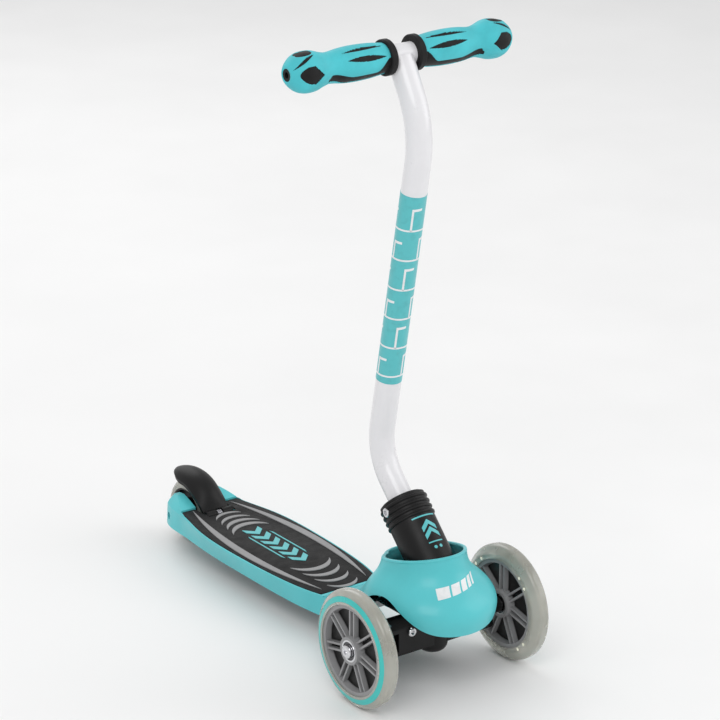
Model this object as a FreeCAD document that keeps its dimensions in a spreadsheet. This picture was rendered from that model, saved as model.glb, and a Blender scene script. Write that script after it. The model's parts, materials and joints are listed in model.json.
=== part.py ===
import FreeCAD, Part
import math
import os
import re
import Sketcher
from FreeCAD import Placement, Rotation, Vector

# A three-wheel lean-to-steer kick scooter for a small child. Millimetres, +Z up, -Y towards the front,
# +X to the rider's left. The origin is on the ground beneath the middle of the scooter. Every sub-part
# is drawn with its Y counted back from the front axle, and seat() then moves it to the row's frame.

SIZES = {
    "axle_ahead": 200,          # front axle, ahead of the origin
    "wheel_radius": 60,         # front wheels
    "tyre_half": 10,            # half the width of a front tyre
    "shoulder": 51.5,           # where its side turns into its crown
    "crown_half": 4.5,
    "tyre_bore": 46,
    "ring_inner": 48.5,         # teal trim ring in the outer side wall
    "ring_outer": 54,
    "ring_depth": 2.5,
    "ring_slope": 1.6,
    "ring_face": 9.8,           # outer face of the ring, from the wheel's middle
    "rim_half": 8.5,
    "rim_inner": 40.5,
    "hub_radius": 14,
    "hub_half": 11,
    "web_half": 1.2,
    "spoke_pairs": 7,
    "spoke_thick": 2,
    "spoke_apart": 6.4,         # middle to middle, in one pair
    "bearing_outer": 11,        # 608 size: 22 x 8 x 7
    "bearing_bore": 4,
    "bearing_wide": 7,
    "half_track": 92,
    "axle_radius": 3.96,
    "axle_head": 6.5,
    "kingpin_out": 60,          # kingpins, either side of the middle
    "kingpin_radius": 3.95,
    "barrel_radius": 8.5,
    "barrel_low": 48.4,
    "barrel_high": 67.6,
    "arm_back": 28,             # steering arm pins, behind the axle
    "arm_pin_radius": 3,
    "slot_gap": 0.35,           # side clearance of a pin in a slot of the tie rod
    "rod_low": 53,
    "rod_high": 61,
    "beam_low": 44,
    "beam_high": 72,
    "beam_deep": 11,            # half its depth, front to back
    "boss_radius": 15.5,
    "boss_back": 2.6,
    "boss_low": 33,
    "bolt_out": 36,
    "stop_high": 99.4,
    "strap_thick": 2.5,         # steel under-frame
    "strap_half": 28,
    "strap_low": 32,
    "pivot_height": 92,         # leaning axis of the column
    "pivot_radius": 5,
    "peg_back": 28,
    "peg_ball": 4.4,
    "barrel_front": -28.5,      # the socket's barrel on the pivot pin
    "barrel_back": 33,
    "barrel_round": 13.5,
    "lean": 44.5,               # stem socket, from upright, in degrees
    "socket_back": 54,          # top of the socket
    "socket_top": 174.5,
    "socket_radius": 23.4,
    "socket_bore": 12.8,
    "stem_radius": 12.7,
    "stem_wall": 1.5,
    "bar_back": 60.6,
    "bar_height": 620.9,
    "bar_radius": 11,
    "bar_half": 122,
    "grip_start": 13,
    "grip_end": 128,
    "end_hole": 3,
    "skin_thick": 2,
    "shell_wall": 3,
    "deck_start": 138,
    "deck_end": 440,
    "deck_low": 25,
    "deck_floor": 44.5,         # underside of the deck's top plate
    "pad_low": 47,
    "pad_high": 49.2,
    "rim_high": 48.6,
    "slot_half": 17.2,          # slot for the rear wheel and the foot of the brake
    "slot_start": 375,
    "rear_back": 431,           # rear axle
    "rear_radius": 35,
    "rear_half": 12,
    "rear_head": 5.5,           # head and nut of the rear axle, inside the deck
    "hinge_back": 383,          # foot brake
    "hinge_height": 46,
    "hinge_radius": 2.5,
    "brake_half": 16,
    "brake_thick": 3.5,
    "shoe_gap": 2.2,
}

doc = FreeCAD.newDocument("Scooter")
sheet = doc.addObject("Spreadsheet::Sheet", "Sizes")
for row, (alias, value) in enumerate(SIZES.items(), start=1):
    sheet.set("A%d" % row, alias)
    sheet.set("B%d" % row, str(value))
    sheet.setAlias("B%d" % row, alias)
doc.recompute()

SIDES = {"left": 1, "right": -1}
nodes = []


def cell(text):
    """A formula of dimension names, made to read the sheet."""
    return re.sub(r"[a-z_]+", lambda word: "Sizes." + word.group() if word.group() in SIZES
                  else word.group(), str(text))


def size(text):
    return float(sheet.evalExpression(cell(text)))


def seat(item, across="0", back="0", up="0", turn=None):
    """Place a sub-part: across, back from the front axle and up, then keep it as a node."""
    item.Placement = Placement(Vector(0, 0, 0), turn or Rotation())
    item.setExpression(".Placement.Base.x", cell(across))
    item.setExpression(".Placement.Base.y", cell("(%s) - axle_ahead" % back))
    item.setExpression(".Placement.Base.z", cell(up))
    nodes.append(item)
    return item


def seat_shape(label, shape):
    """Keep a free-form shape as a node."""
    item = doc.addObject("Part::Feature", label)
    item.Label = label
    item.Shape = shape
    item.Placement = Placement(Vector(0, -size("axle_ahead"), 0), Rotation())
    nodes.append(item)
    return item


# ---- sketched bodies ------------------------------------------------------------------------------

def new_body(label):
    body = doc.addObject("PartDesign::Body", label)
    body.Label = label
    return body


def datum(body, role):
    return next(item for item in body.Origin.OriginFeatures if item.Role == role)


def new_sketch(body, role, lift="0"):
    sketch = body.newObject("Sketcher::SketchObject", body.Name + "_sketch")
    sketch.AttachmentSupport = [(datum(body, role), "")]
    sketch.MapMode = "FlatFace"
    sketch.setExpression(".AttachmentOffset.Base.z", cell(lift))
    return sketch


def hold(sketch, kind, text, *where):
    """Add a dimension that is bound to the sheet."""
    number = sketch.addConstraint(Sketcher.Constraint(kind, *where, size(text)))
    sketch.setExpression("Constraints[%d]" % number, cell(text))


def polygon(sketch, corners):
    first = sketch.GeometryCount
    spots = [Vector(size(across), size(up), 0) for across, up in corners]
    count = len(corners)
    for place in range(count):
        sketch.addGeometry(Part.LineSegment(spots[place], spots[(place + 1) % count]), False)
    for place in range(count):
        following = first + (place + 1) % count
        sketch.addConstraint(Sketcher.Constraint("Coincident", first + place, 2, following, 1))
    for place, (across, up) in enumerate(corners):
        hold(sketch, "DistanceX", across, -1, 1, first + place, 1)
        hold(sketch, "DistanceY", up, -1, 1, first + place, 1)


def circle(sketch, across, up, radius):
    place = sketch.addGeometry(
        Part.Circle(Vector(size(across), size(up), 0), Vector(0, 0, 1), size(radius)), False)
    hold(sketch, "Radius", radius, place)
    hold(sketch, "DistanceX", across, -1, 1, place, 3)
    hold(sketch, "DistanceY", up, -1, 1, place, 3)


def box_corners(low_x, high_x, low_y, high_y):
    return [(low_x, low_y), (high_x, low_y), (high_x, high_y), (low_x, high_y)]


def turned(label, *profiles):
    """A body turned about X: corners are (place along X, radius)."""
    body = new_body(label)
    for corners in profiles:
        sketch = new_sketch(body, "XY_Plane")
        polygon(sketch, corners)
        turn = body.newObject("PartDesign::Revolution", label + "_turn")
        turn.Profile = sketch
        turn.ReferenceAxis = (sketch, ["H_Axis"])
        turn.Angle = 360
        doc.recompute()
    return body


def extrude(body, sketch, length, kind="Pad", both=False, backward=False):
    """Pad or pocket a sketch by a bound length."""
    feature = body.newObject("PartDesign::" + kind, "%s_%s" % (body.Name, kind.lower()))
    feature.Profile = sketch
    feature.setExpression("Length", cell(length))
    feature.SideType = "Symmetric" if both else "One side"
    feature.Reversed = backward
    before = body.Shape.Volume if kind == "Pocket" else None
    doc.recompute()
    if kind == "Pocket" and body.Shape.Volume > before - 1e-3:
        raise RuntimeError("pocket cuts nothing: " + feature.Name)
    return feature


def around(body, feature, count):
    """Repeat a feature about X."""
    pattern = body.newObject("PartDesign::PolarPattern", feature.Name + "_ring")
    pattern.Originals = [feature]
    pattern.Axis = (datum(body, "X_Axis"), [""])
    pattern.Angle = 360
    pattern.setExpression("Occurrences", cell(count))
    body.Tip = pattern
    doc.recompute()
    return pattern


def rounded(body, radius, chosen):
    """Fillet the edges of the body's last feature that chosen() picks."""
    base = body.Tip
    names = ["Edge%d" % place for place, edge in enumerate(base.Shape.Edges, start=1) if chosen(edge)]
    fillet = body.newObject("PartDesign::Fillet", body.Name + "_fillet")
    fillet.Base = (base, names)
    fillet.setExpression("Radius", cell(radius))
    doc.recompute()
    return fillet


def rim_circle(radius, low=None, high=None):
    """Picks the circles about X of a radius, between two places along X."""
    def chosen(edge):
        curve = edge.Curve
        if not isinstance(curve, Part.Circle) or abs(curve.Radius - size(radius)) > 0.01:
            return False
        place = curve.Center.x
        return (low is None or place >= size(low)) and (high is None or place <= size(high))
    return chosen


# ---- front wheels: drawn about X, with +X outboard; the right one is turned half a turn --------------

def front_wheel(side, sign):
    turn = Rotation(Vector(0, 0, 1), 0 if sign > 0 else 180)
    spot = {"across": "%d * half_track" % sign, "up": "wheel_radius", "turn": turn}

    lights = doc.addObject("Part::Compound", "front_lights_" + side)
    lights.Label = "front_lights_" + side
    beads = []
    for quarter in range(4):
        for step in (-7, 7):
            bead = doc.addObject("Part::Cylinder", "bead_%s_%d_%d" % (side, quarter, step + 7))
            bead.Radius = 1.6
            bead.Height = 3
            angle = math.radians(45 + 90 * quarter + step)
            bead.Placement = Placement(
                Vector(-size("tyre_half"), 0, 0)
                + 48.8 * Vector(0, math.cos(angle), math.sin(angle)), Rotation(Vector(0, 1, 0), 90))
            beads.append(bead)
    lights.Links = beads
    holes = doc.addObject("Part::Compound", "light_holes_" + side)
    holes.Links = beads
    doc.recompute()

    blank = turned("tyre_blank_" + side, [
        ("-tyre_half", "tyre_bore"), ("-tyre_half", "shoulder"), ("-crown_half", "wheel_radius"),
        ("crown_half", "wheel_radius"), ("tyre_half", "shoulder"), ("tyre_half", "tyre_bore")])
    rounded(blank, "5", rim_circle("wheel_radius"))
    rounded(blank, "6", rim_circle("shoulder"))
    sketch = new_sketch(blank, "XY_Plane")
    polygon(sketch, [
        ("ring_face - ring_depth", "ring_inner"), ("tyre_half + 5", "ring_inner"),
        ("tyre_half + 5", "ring_outer"), ("ring_face - ring_slope - ring_depth", "ring_outer")])
    groove = blank.newObject("PartDesign::Groove", "tyre_groove_" + side)
    groove.Profile = sketch
    groove.ReferenceAxis = (sketch, ["H_Axis"])
    groove.Angle = 360
    doc.recompute()
    tyre = doc.addObject("Part::Cut", "front_tyre_" + side)
    tyre.Label = "front_tyre_" + side
    tyre.Base = blank
    tyre.Tool = holes
    seat(tyre, **spot)
    seat(lights, **spot)

    ring = turned("front_ring_" + side,
                  [("ring_face - ring_depth", "ring_inner"), ("ring_face", "ring_inner"),
                   ("ring_face - ring_slope", "ring_outer"),
                   ("ring_face - ring_slope - ring_depth", "ring_outer")])
    seat(ring, **spot)

    rim = turned("front_rim_" + side, [
        ("-hub_half", "bearing_bore + 2"), ("-hub_half", "hub_radius"), ("-web_half", "hub_radius + 1"),
        ("-web_half", "rim_inner"), ("-rim_half", "rim_inner + 1.5"), ("-rim_half", "tyre_bore"),
        ("rim_half", "tyre_bore"), ("rim_half", "rim_inner + 1.5"), ("web_half", "rim_inner"),
        ("web_half", "hub_radius + 1"), ("hub_half", "hub_radius"), ("hub_half", "bearing_bore + 2")])
    bearing_seats(rim)
    for step in (1, -1):
        middle = "%d * spoke_apart / 2" % step
        sketch = new_sketch(rim, "YZ_Plane", "-rim_half + 1")
        polygon(sketch, box_corners(middle + " - spoke_thick / 2", middle + " + spoke_thick / 2",
                                    "hub_radius - 0.8", "rim_inner + 1.4"))
        spoke = extrude(rim, sketch, "2 * (rim_half - 1)")
        around(rim, spoke, "spoke_pairs")
    seat(rim, **spot)

    seat(bearing_pair("front_bearings_" + side), **spot)
    seat(spacer_tube("front_spacer_" + side), **spot)


def bearing_seats(hub):
    """Pockets at both ends of a hub for its bearings."""
    for low, high in (("hub_half - bearing_wide", "hub_half + 1"),
                      ("-hub_half - 1", "bearing_wide - hub_half")):
        sketch = new_sketch(hub, "XY_Plane")
        polygon(sketch, box_corners(low, high, "0", "bearing_outer"))
        pocket = hub.newObject("PartDesign::Groove", "bearing_seat")
        pocket.Profile = sketch
        pocket.ReferenceAxis = (sketch, ["H_Axis"])
        pocket.Angle = 360
        doc.recompute()


def bearing(name, start):
    """A closed ball bearing: its races with the shields between them, as one ring about X."""
    begin, end = "(%s)" % start, "(%s) + bearing_wide" % start
    return turned("bearing_" + name, [
        (begin, "bearing_bore"), (begin, "bearing_bore + 2"), (begin + " + 0.5", "bearing_bore + 2"),
        (begin + " + 0.5", "bearing_outer - 1.8"), (begin, "bearing_outer - 1.8"),
        (begin, "bearing_outer"), (end, "bearing_outer"), (end, "bearing_outer - 1.8"),
        (end + " - 0.5", "bearing_outer - 1.8"), (end + " - 0.5", "bearing_bore + 2"),
        (end, "bearing_bore + 2"), (end, "bearing_bore")])


def bearing_pair(label):
    pair = doc.addObject("Part::Compound", label)
    pair.Label = label
    pair.Links = [bearing(label + "_high", "hub_half - bearing_wide"), bearing(label + "_low", "-hub_half")]
    return pair


def spacer_tube(label):
    """The sleeve on the axle that keeps the two bearings apart."""
    return turned(label, box_corners("bearing_wide - hub_half", "hub_half - bearing_wide",
                                     "bearing_bore + 0.1", "bearing_bore + 1.6"))


for side, sign in SIDES.items():
    front_wheel(side, sign)


# ---- rear wheel ------------------------------------------------------------------------------------

def rear_wheel():
    spot = {"back": "rear_back", "up": "rear_radius"}
    tyre = turned("rear_tyre", box_corners("-rear_half", "rear_half", "rear_radius - 9", "rear_radius"))
    rounded(tyre, "rear_half - 5", rim_circle("rear_radius"))
    seat(tyre, **spot)
    core = turned("rear_core", [
        ("-hub_half", "bearing_bore + 2"), ("-hub_half", "hub_radius"), ("-4", "hub_radius"),
        ("-4", "rear_radius - 11"), ("-rear_half + 1", "rear_radius - 11"),
        ("-rear_half + 1", "rear_radius - 9"), ("rear_half - 1", "rear_radius - 9"),
        ("rear_half - 1", "rear_radius - 11"), ("4", "rear_radius - 11"), ("4", "hub_radius"),
        ("hub_half", "hub_radius"), ("hub_half", "bearing_bore + 2")])
    bearing_seats(core)
    seat(core, **spot)
    seat(bearing_pair("rear_bearings"), **spot)
    seat(spacer_tube("rear_spacer"), **spot)
    bolt = turned("rear_axle_bolt", [
        ("-26", "0"), ("-26", "rear_head"), ("-23.5", "rear_head"), ("-23.5", "axle_radius"),
        ("27", "axle_radius"), ("27", "0")])
    seat(bolt, **spot)
    nut = turned("rear_axle_nut", box_corners("23.5", "26", "axle_radius", "rear_head"))
    seat(nut, **spot)
    washers = doc.addObject("Part::Compound", "rear_axle_washers")
    washers.Label = "rear_axle_washers"
    washers.Links = [turned("washer_" + name, box_corners(low, high, "axle_radius", "axle_radius + 1.6"))
                     for name, low, high in (("high", "hub_half + 0.1", "slot_half"),
                                             ("low", "-slot_half", "-hub_half - 0.1"))]
    seat(washers, **spot)


rear_wheel()


# ---- steering: beam, kingpins, knuckles, stub axles and tie rod ---------------------------------------

def steering_side(side, sign):
    out = "%d * " % sign
    kingpin = new_body("kingpin_" + side)
    for radius, low, high in (("kingpin_radius", "beam_low - 2", "beam_high + 2.5"),
                              ("kingpin_radius + 2.5", "beam_high + 0.05", "beam_high + 2.5"),
                              ("kingpin_radius + 2", "beam_low - 2", "beam_low - 0.05")):
        sketch = new_sketch(kingpin, "XY_Plane", low)
        circle(sketch, "0", "0", radius)
        extrude(kingpin, sketch, "(%s) - (%s)" % (high, low))
    seat(kingpin, across=out + "kingpin_out")

    knuckle = new_body("knuckle_" + side)
    sketch = new_sketch(knuckle, "XY_Plane", "barrel_low")
    circle(sketch, "0", "0", "barrel_radius")
    extrude(knuckle, sketch, "barrel_high - barrel_low")
    sketch = new_sketch(knuckle, "XY_Plane", "barrel_low")
    polygon(sketch, box_corners("-4.5", "4.5", "0", "arm_back + 4.5"))
    extrude(knuckle, sketch, "rod_low - 0.4 - barrel_low")
    sketch = new_sketch(knuckle, "YZ_Plane")
    circle(sketch, "0", "wheel_radius", "barrel_radius - 1")
    extrude(knuckle, sketch, "half_track - hub_half - kingpin_out - 0.5", backward=sign < 0)
    sketch = new_sketch(knuckle, "YZ_Plane", out + "(kingpin_radius + 3)")
    circle(sketch, "0", "wheel_radius", "axle_radius")
    extrude(knuckle, sketch, "half_track", kind="Pocket", backward=sign > 0)
    sketch = new_sketch(knuckle, "XY_Plane", "barrel_low - 1")
    circle(sketch, "0", "0", "kingpin_radius + 0.05")
    extrude(knuckle, sketch, "barrel_high - barrel_low + 2", kind="Pocket", backward=True)
    sketch = new_sketch(knuckle, "XY_Plane", "barrel_low - 1")
    circle(sketch, "0", "arm_back", "arm_pin_radius")
    extrude(knuckle, sketch, "rod_high", kind="Pocket", backward=True)
    seat(knuckle, across=out + "kingpin_out")

    pin = new_body("arm_pin_" + side)
    sketch = new_sketch(pin, "XY_Plane", "barrel_low")
    circle(sketch, "0", "arm_back", "arm_pin_radius")
    extrude(pin, sketch, "rod_high + 3 - barrel_low")
    sketch = new_sketch(pin, "XY_Plane", "rod_high + 0.6")
    circle(sketch, "0", "arm_back", "arm_pin_radius + 2")
    extrude(pin, sketch, "2.4")
    seat(pin, across=out + "kingpin_out")

    axle = turned("stub_axle_" + side, [
        ("kingpin_out + kingpin_radius + 3.5", "0"), ("kingpin_out + kingpin_radius + 3.5", "axle_radius"),
        ("half_track - hub_half - 0.5", "axle_radius"),
        ("half_track - hub_half - 0.5", "axle_radius + 1.6"),
        ("half_track - hub_half - 0.1", "axle_radius + 1.6"),
        ("half_track - hub_half - 0.1", "axle_radius"),
        ("half_track + hub_half + 0.3", "axle_radius"), ("half_track + hub_half + 0.3", "axle_head"),
        ("half_track + hub_half + 3.2", "axle_head"), ("half_track + hub_half + 4", "axle_head - 1.2"),
        ("half_track + hub_half + 4", "2.3"), ("half_track + hub_half + 1.8", "2.3"),
        ("half_track + hub_half + 1.8", "0")])
    seat(axle, up="wheel_radius", turn=Rotation(Vector(0, 0, 1), 0 if sign > 0 else 180))


for side, sign in SIDES.items():
    steering_side(side, sign)


def axle_beam():
    """The moulded front beam: a yoke at each end and a boss hanging from its middle."""
    beam = new_body("axle_beam")
    sketch = new_sketch(beam, "XY_Plane", "beam_low")
    polygon(sketch, box_corners("-kingpin_out", "kingpin_out", "-beam_deep", "beam_deep"))
    extrude(beam, sketch, "beam_high - beam_low")
    for sign in (-1, 1):
        sketch = new_sketch(beam, "XY_Plane", "beam_low")
        circle(sketch, "%d * kingpin_out" % sign, "0", "beam_deep")
        extrude(beam, sketch, "beam_high - beam_low")
    sketch = new_sketch(beam, "XY_Plane", "boss_low")
    circle(sketch, "0", "boss_back", "boss_radius")
    extrude(beam, sketch, "beam_high - boss_low")
    rounded(beam, "9", lambda edge: abs(edge.BoundBox.ZMax - size("boss_low")) < 0.01)
    for sign in (-1, 1):
        sketch = new_sketch(beam, "XY_Plane", "barrel_low - 0.4")
        low, high = "kingpin_out - barrel_radius - 0.6", "kingpin_out + beam_deep + 1"
        ends = (low, high) if sign > 0 else ("-(%s)" % high, "-(%s)" % low)
        polygon(sketch, box_corners(*ends, "-beam_deep - 1", "beam_deep + 1"))
        extrude(beam, sketch, "barrel_high - barrel_low + 0.8", kind="Pocket", backward=True)
        sketch = new_sketch(beam, "XY_Plane", "beam_low - 1")
        circle(sketch, "%d * kingpin_out" % sign, "0", "kingpin_radius")
        extrude(beam, sketch, "beam_high", kind="Pocket", backward=True)
    for sign in (-1, 1):
        sketch = new_sketch(beam, "XZ_Plane", "beam_deep - 10")
        circle(sketch, "%d * bolt_out" % sign, "beam_high - 5.5", "2.5")
        extrude(beam, sketch, "20", kind="Pocket", backward=True)
    seat(beam)

    bolts = doc.addObject("Part::Compound", "beam_bolts")
    bolts.Label = "beam_bolts"
    links = []
    for sign in (-1, 1):
        bolt = turned("beam_bolt_%d" % (sign + 1), [
            ("0", "0"), ("0", "2.5"), ("9.9", "2.5"), ("9.9", "4.6"), ("12.5", "4.6"), ("13", "3.8"),
            ("13", "0")])
        bolt.Placement = Placement(Vector(0, -1.1, size("beam_high - 5.5")), Rotation(Vector(0, 0, 1), -90))
        bolt.setExpression(".Placement.Base.x", cell("%d * bolt_out" % sign))
        links.append(bolt)
    bolts.Links = links
    seat(bolts)


axle_beam()


def tie_rod():
    """A flat bar with slots for the arm pins and the column's peg."""
    rod = new_body("tie_rod")
    sketch = new_sketch(rod, "XY_Plane", "rod_low")
    polygon(sketch, box_corners("-kingpin_out - 7.5", "kingpin_out + 7.5",
                                "arm_back - 8.5", "arm_back + 8.5"))
    extrude(rod, sketch, "rod_high - rod_low")
    rounded(rod, "6", lambda edge: edge.BoundBox.ZLength > 5)
    for place, half in (("-kingpin_out", "arm_pin_radius + slot_gap"), ("0", "peg_ball + slot_gap"),
                        ("kingpin_out", "arm_pin_radius + slot_gap")):
        sketch = new_sketch(rod, "XY_Plane", "rod_low - 1")
        polygon(sketch, box_corners("%s - (%s)" % (place, half), "%s + (%s)" % (place, half),
                                    "arm_back - (%s) - 1" % half, "arm_back + (%s) + 1" % half))
        extrude(rod, sketch, "rod_high - rod_low + 2", kind="Pocket", backward=True)
    seat(rod)


tie_rod()


# ---- under-frame and the leaning axis ----------------------------------------------------------------

def under_frame():
    """A pressed steel strap under the deck, with two upstands for the column's pivot pin."""
    frame = new_body("under_frame")
    sketch = new_sketch(frame, "YZ_Plane")
    polygon(sketch, [
        ("barrel_front - 0.6 - strap_thick", "beam_high"), ("56", "beam_high"), ("112", "strap_low"),
        ("slot_start - 8", "strap_low"), ("slot_start - 8", "strap_low + strap_thick"),
        ("112 + strap_thick / 2", "strap_low + strap_thick"),
        ("56 + strap_thick / 2", "beam_high + strap_thick"),
        ("barrel_front - 0.6", "beam_high + strap_thick"), ("barrel_front - 0.6", "pivot_height + 12"),
        ("barrel_front - 0.6 - strap_thick", "pivot_height + 12")])
    extrude(frame, sketch, "2 * strap_half", both=True)
    sketch = new_sketch(frame, "XZ_Plane", "-barrel_back - 9")
    polygon(sketch, box_corners("-strap_half", "strap_half", "beam_high + 1", "pivot_height + 12"))
    extrude(frame, sketch, "strap_thick")
    for sign in (-1, 1):
        sketch = new_sketch(frame, "XZ_Plane", "-barrel_back - 10")
        ends = ("15", "strap_half + 1") if sign > 0 else ("-strap_half - 1", "-15")
        polygon(sketch, box_corners(*ends, "beam_high + 12", "pivot_height + 13"))
        extrude(frame, sketch, "barrel_back - barrel_front + 30", kind="Pocket", backward=True)
    sketch = new_sketch(frame, "XZ_Plane", "-barrel_back - 10")
    circle(sketch, "0", "pivot_height", "pivot_radius")
    extrude(frame, sketch, "barrel_back - barrel_front + 30", kind="Pocket", backward=True)
    sketch = new_sketch(frame, "XY_Plane", "beam_high - 1")
    polygon(sketch, box_corners("-10", "10", "peg_back - 7", "peg_back + 7"))
    extrude(frame, sketch, "strap_thick + 2", kind="Pocket", backward=True)
    sketch = new_sketch(frame, "XY_Plane", "strap_low - 1")
    for place in (190, 230, 290, 330):
        circle(sketch, "0", str(place), "10")
    for place in SCREW_PLACES:
        circle(sketch, "18", str(place), "1.7")
        circle(sketch, "-18", str(place), "1.7")
    extrude(frame, sketch, "strap_thick + 2", kind="Pocket", backward=True)
    seat(frame)


def column_pivot():
    """The pin that the column leans on, with its head in front, its centring spring and two stops."""
    pin = turned("column_pivot_pin", [
        ("barrel_front - 7", "0"), ("barrel_front - 7", "pivot_radius + 3"),
        ("barrel_front - 3.15", "pivot_radius + 3"), ("barrel_front - 3.15", "pivot_radius"),
        ("barrel_back + 15", "pivot_radius"), ("barrel_back + 15", "0")])
    seat(pin, up="pivot_height", turn=Rotation(Vector(0, 0, 1), 90))
    coil = helix("centring_spring", size("pivot_radius") + 1.9, 0.85, 1.8, 2)
    spot = Vector(0, size("barrel_back + 1.9 - axle_ahead"), size("pivot_height"))
    coil.Placement = Placement(spot, Rotation(Vector(1, 0, 0), -90))
    stops = doc.addObject("Part::Compound", "lean_stops")
    stops.Label = "lean_stops"
    blocks = []
    for sign in (-1, 1):
        block = doc.addObject("Part::Box", "lean_stop_%d" % (sign + 1))
        block.Length = 8
        block.Width = 16
        block.setExpression("Height", cell("stop_high - beam_high - strap_thick"))
        block.setExpression(".Placement.Base.x", cell("%d * 21 - 4" % sign))
        block.setExpression(".Placement.Base.y", cell("-14"))
        block.setExpression(".Placement.Base.z", cell("beam_high + strap_thick"))
        blocks.append(block)
    stops.Links = blocks
    seat(stops)


def helix(label, radius, wire, pitch, turns):
    """A spring of round wire, rising along Z."""
    path = Part.makeHelix(pitch, pitch * turns, radius)
    section = Part.Wire(Part.makeCircle(wire, Vector(radius, 0, 0), Vector(0, 1, 0)))
    shape = Part.Wire(path.Edges).makePipeShell([section], True, True)
    return seat_shape(label, shape)


SCREW_PLACES = (160, 260, 350)
under_frame()
column_pivot()


# ---- deck --------------------------------------------------------------------------------------------

# the deck's half widths at three heights: straight low down, bowed at the rim, drawn in above it
OUTLINE_BACKS = (152, 195, 275, 350, 400, 425)
OUTLINES = ((15, (34, 35.5, 38, 38.5, 38.5, 38, 37, 31)), (47, (35, 39.5, 47, 51.5, 48, 38, 34, 29)),
            (80, (30, 35, 42, 46, 37, 20, 10, 6)))


def plan_outline(height, halves, inset, start, end):
    """The deck's outline at a height."""
    backs = (start,) + OUTLINE_BACKS + (end,)
    spots = [Vector(half - inset, back, height) for half, back in zip(halves, backs)]
    left = Part.BSplineCurve()
    left.interpolate(spots)
    right = Part.BSplineCurve()
    right.interpolate([Vector(-spot.x, spot.y, spot.z) for spot in reversed(spots)])
    rear = Part.LineSegment(spots[-1], Vector(-spots[-1].x, end, height))
    front = Part.LineSegment(Vector(-spots[0].x, start, height), spots[0])
    return Part.Wire([curve.toShape() for curve in (left, rear, right, front)])


def plan_block(inset, start, end):
    """The block between the deck's flared walls."""
    sections = [plan_outline(height, halves, inset, start, end) for height, halves in OUTLINES]
    return Part.makeLoft(sections, True, True)


def side_block(corners, half=60):
    """A side view (back, up) drawn through the whole width."""
    spots = [Vector(-half, back, up) for back, up in corners]
    return Part.Face(Part.makePolygon(spots + spots[:1])).extrude(Vector(2 * half, 0, 0))


def box(low_x, high_x, low_y, high_y, low_z, high_z):
    return Part.makeBox(high_x - low_x, high_y - low_y, high_z - low_z, Vector(low_x, low_y, low_z))


def rod(radius, low, high, back, up):
    """A round bar along X."""
    return Part.makeCylinder(radius, high - low, Vector(low, back, up), Vector(1, 0, 0))


def deck_side(wall):
    """The deck's side view, drawn in by a wall's thickness all over."""
    low, floor = size("deck_low"), size("rim_high" if wall == 0 else "deck_floor")
    start, end = size("deck_start"), size("deck_end")
    if wall:
        low, start = low - 10, start - 10
    return side_block([
        (start, low), (end - 2 - wall, low), (end - wall, 38), (end - 1 - wall, 50),
        (end - 6 - wall, 58 - wall / 2), (end - 15 - wall / 2, 59 - wall), (415, 56 - wall),
        (402, 51 - wall), (393 - wall, floor), (start, floor)])


def deck_shell():
    start, end, wall = size("deck_start"), size("deck_end"), size("shell_wall")
    slot, slot_start, floor = size("slot_half"), size("slot_start"), size("deck_floor")
    hollow = plan_block(wall, start - 10, end - wall).common(deck_side(wall))
    hollow = hollow.cut(box(-slot - wall, slot + wall, slot_start - wall, end + 10, 0, 90))
    shell = plan_block(0, start, end).common(deck_side(0)).cut(hollow)
    inside = plan_block(wall - 0.5, start, end)
    for place in range(170, 346, 25):
        rib = box(-60, 60, place, place + 2, size("strap_low + strap_thick"), floor + 1)
        shell = shell.fuse(rib.common(inside))
    for sign in (-1, 1):
        low = 31 if sign > 0 else -33
        shell = shell.fuse(box(low, low + 2, start + 2, slot_start, size("deck_low") + 3, floor + 1))
        for place in SCREW_PLACES:
            boss = Part.makeCylinder(4.5, floor + 1 - size("strap_low + strap_thick"),
                                     Vector(18 * sign, place, size("strap_low + strap_thick")))
            shell = shell.fuse(boss)
        ends = (slot, 23.4) if sign > 0 else (-23.4, -slot)
        shell = shell.fuse(rod(9, *ends, size("rear_back"), size("rear_radius")))
        shell = shell.fuse(rod(4.5, *ends, size("hinge_back"), size("hinge_height - 3")))
    shell = shell.cut(box(-slot, slot, slot_start, end + 10, 0, 90))
    shell = shell.cut(pad_block(size("pad_low"), 90))
    shell = shell.cut(rod(size("axle_radius"), -40, 40, size("rear_back"), size("rear_radius")))
    shell = shell.cut(rod(size("hinge_radius"), -22, 22, size("hinge_back"), size("hinge_height")))
    for sign in (-1, 1):
        for place in SCREW_PLACES:
            shell = shell.cut(Part.makeCylinder(1.6, 9, Vector(18 * sign, place, size("strap_low"))))
    return shell.removeSplitter()


def pad_block(low, high):
    """The recess in the deck's top, and the pad that lies in it."""
    outline = plan_outline(low, OUTLINES[1][1], 1.6, size("deck_start"), size("deck_end"))
    block = Part.Face(outline).extrude(Vector(0, 0, high - low))
    return block.common(box(-60, 60, 142, 402, 0, 100))


def grip_pad():
    pad = pad_block(size("pad_low"), size("pad_high"))
    slot = size("slot_half") + 0.5
    pad = pad.cut(box(-slot, slot, size("slot_start"), 410, 40, 60))
    return pad.cut(rod(size("hinge_radius"), -22, 22, size("hinge_back"), size("hinge_height")))


def bowed_stripe(sign):
    """One of the two long tapered stripes on the pad."""
    low = size("pad_high")
    outer = Part.Arc(Vector(sign * 24, 398, low), Vector(sign * 44, 265, low), Vector(sign * 29, 152, low))
    inner = Part.Arc(Vector(sign * 29, 152, low), Vector(sign * 37, 268, low), Vector(sign * 24, 398, low))
    face = Part.Face(Part.Wire([outer.toShape(), inner.toShape()]))
    return face.extrude(Vector(0, 0, 0.6))


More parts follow.
